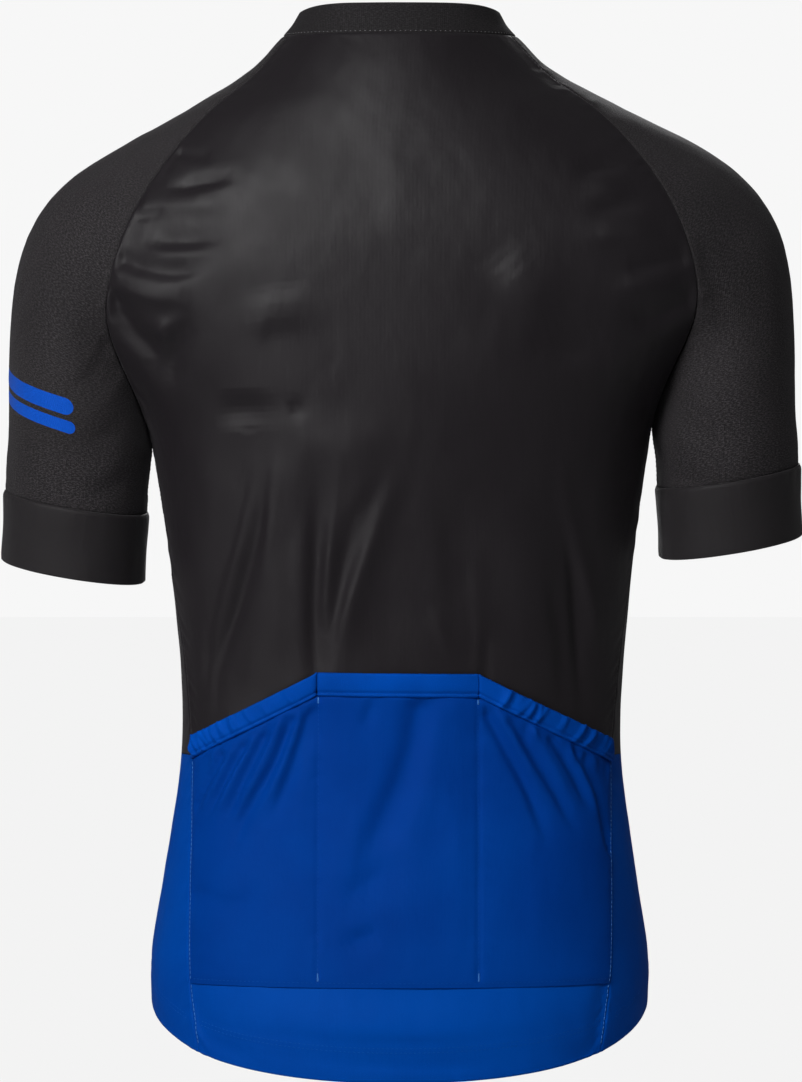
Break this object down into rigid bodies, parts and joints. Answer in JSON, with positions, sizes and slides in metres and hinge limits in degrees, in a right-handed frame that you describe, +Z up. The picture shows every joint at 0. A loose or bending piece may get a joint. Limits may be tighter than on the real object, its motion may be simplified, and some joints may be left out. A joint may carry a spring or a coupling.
{
  "type": "short-sleeved cycling jersey",
  "caption": "Close-fitting raglan jersey with a stand collar, full-length front zip, dropped tail and a divided pocket panel across the lower back.",
  "frame": {"origin": "middle of the neck opening, level with the points where the collar meets the shoulders", "axes": "+Z up along the body, +X to the wearer's left, the zip faces -Y and the pockets +Y"},
  "size_m": [0.5298, 0.2349, 0.6958],
  "materials": {
    "black_knit": "smooth fine knit with a soft sheen",
    "heather_knit": "matt knit with fine paler flecks",
    "blue_knit": "smooth fine knit with a soft sheen",
    "zip_tape": "woven tape with moulded teeth",
    "zip_metal": "black enamelled metal"
  },
  "bodies": {
    "garment": {"back": "black_knit", "front_left": "black_knit", "front_right": "black_knit", "sleeve_left": "heather_knit", "sleeve_right": "heather_knit", "cuff_left": "black_knit", "cuff_right": "black_knit", "collar": "heather_knit", "pocket": "blue_knit", "pocket_band_left": "blue_knit", "pocket_band_center": "blue_knit", "pocket_band_right": "blue_knit", "zip_left": "zip_tape", "zip_right": "zip_tape", "zip_slider": "zip_metal", "zip_box": "zip_metal"},
    "pull": {"zip_pull": "zip_metal"}
  },
  "joints": [
    {"name": "pull_swing", "type": "hinge", "parent": "garment", "child": "pull", "pos_m": [0.0016, -0.07107, -0.0311], "axis": [-1, 0, 0], "range_deg": [0, 150]}
  ]
}
